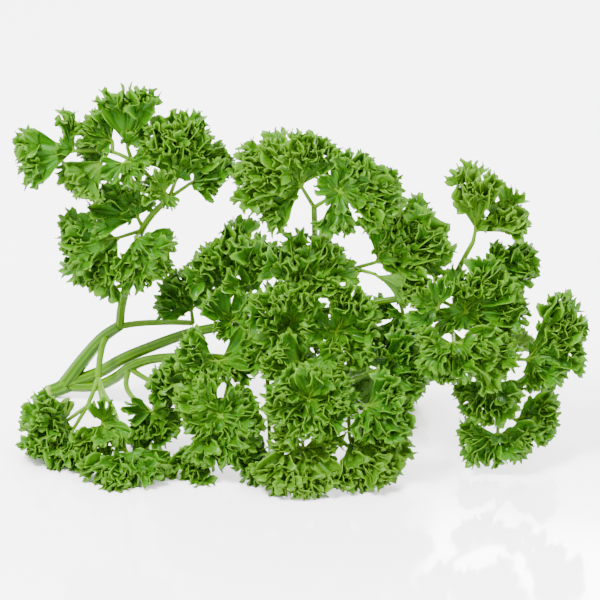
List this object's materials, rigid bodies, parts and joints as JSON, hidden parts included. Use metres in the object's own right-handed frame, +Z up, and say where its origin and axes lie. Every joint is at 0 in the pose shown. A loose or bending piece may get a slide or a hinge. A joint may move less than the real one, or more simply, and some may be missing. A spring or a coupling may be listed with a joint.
{
  "type": "parsley bunch",
  "caption": "Small bunch of fresh curly parsley lying on its side, with ribbed pale stalks forking from one cut end and ruffled, finely cut leaf sprays.",
  "frame": {"origin": "on the surface it lies on, under the middle of the bunch's bounding box", "axes": "+X from the cut end towards the far leaf tips, +Y to the back of the bunch as it is seen from its leafy side, +Z up from the surface"},
  "size_m": [0.1912, 0.0824, 0.1253],
  "materials": {
    "leaf": "satin",
    "stem": "satin"
  },
  "bodies": {
    "root": {"stalks": "stem", "spray_tall_left": "leaf", "spray_tall_front": "leaf", "spray_tall_middle": "leaf", "spray_tall_right": "leaf", "spray_tall_top": "leaf", "spray_tall_small": "leaf", "spray_tall_crest": "leaf", "spray_tall_inner": "leaf", "spray_tall_crown": "leaf", "spray_tall_hang": "leaf", "spray_tall_tip": "leaf", "spray_crest_left": "leaf", "spray_crest_right": "leaf", "spray_side_top": "leaf", "spray_side_low": "leaf", "spray_centre_top": "leaf", "spray_left_top": "leaf", "spray_left_inner": "leaf", "spray_left_side": "leaf", "spray_left_heart": "leaf", "spray_centre": "leaf", "spray_centre_right": "leaf", "spray_right_centre": "leaf", "spray_front_top": "leaf", "spray_left_low": "leaf", "spray_left_back": "leaf", "spray_front_heart": "leaf", "spray_front_low": "leaf", "spray_front_right": "leaf", "spray_right_heart": "leaf", "spray_right_dark": "leaf", "spray_front_left": "leaf", "spray_left_front": "leaf", "spray_left_under": "leaf", "spray_drop_far": "leaf", "spray_drop_pale": "leaf", "spray_drop_heart": "leaf", "spray_drop_right": "leaf", "spray_drop_under": "leaf", "spray_right_crest": "leaf", "spray_right_back": "leaf", "spray_right_big": "leaf", "spray_right_inner": "leaf", "spray_right_middle": "leaf", "spray_right_far": "leaf", "spray_right_pale": "leaf", "spray_right_fall": "leaf", "spray_right_foot": "leaf", "spray_right_wing": "leaf", "spray_back_foot": "leaf"}
  },
  "joints": []
}
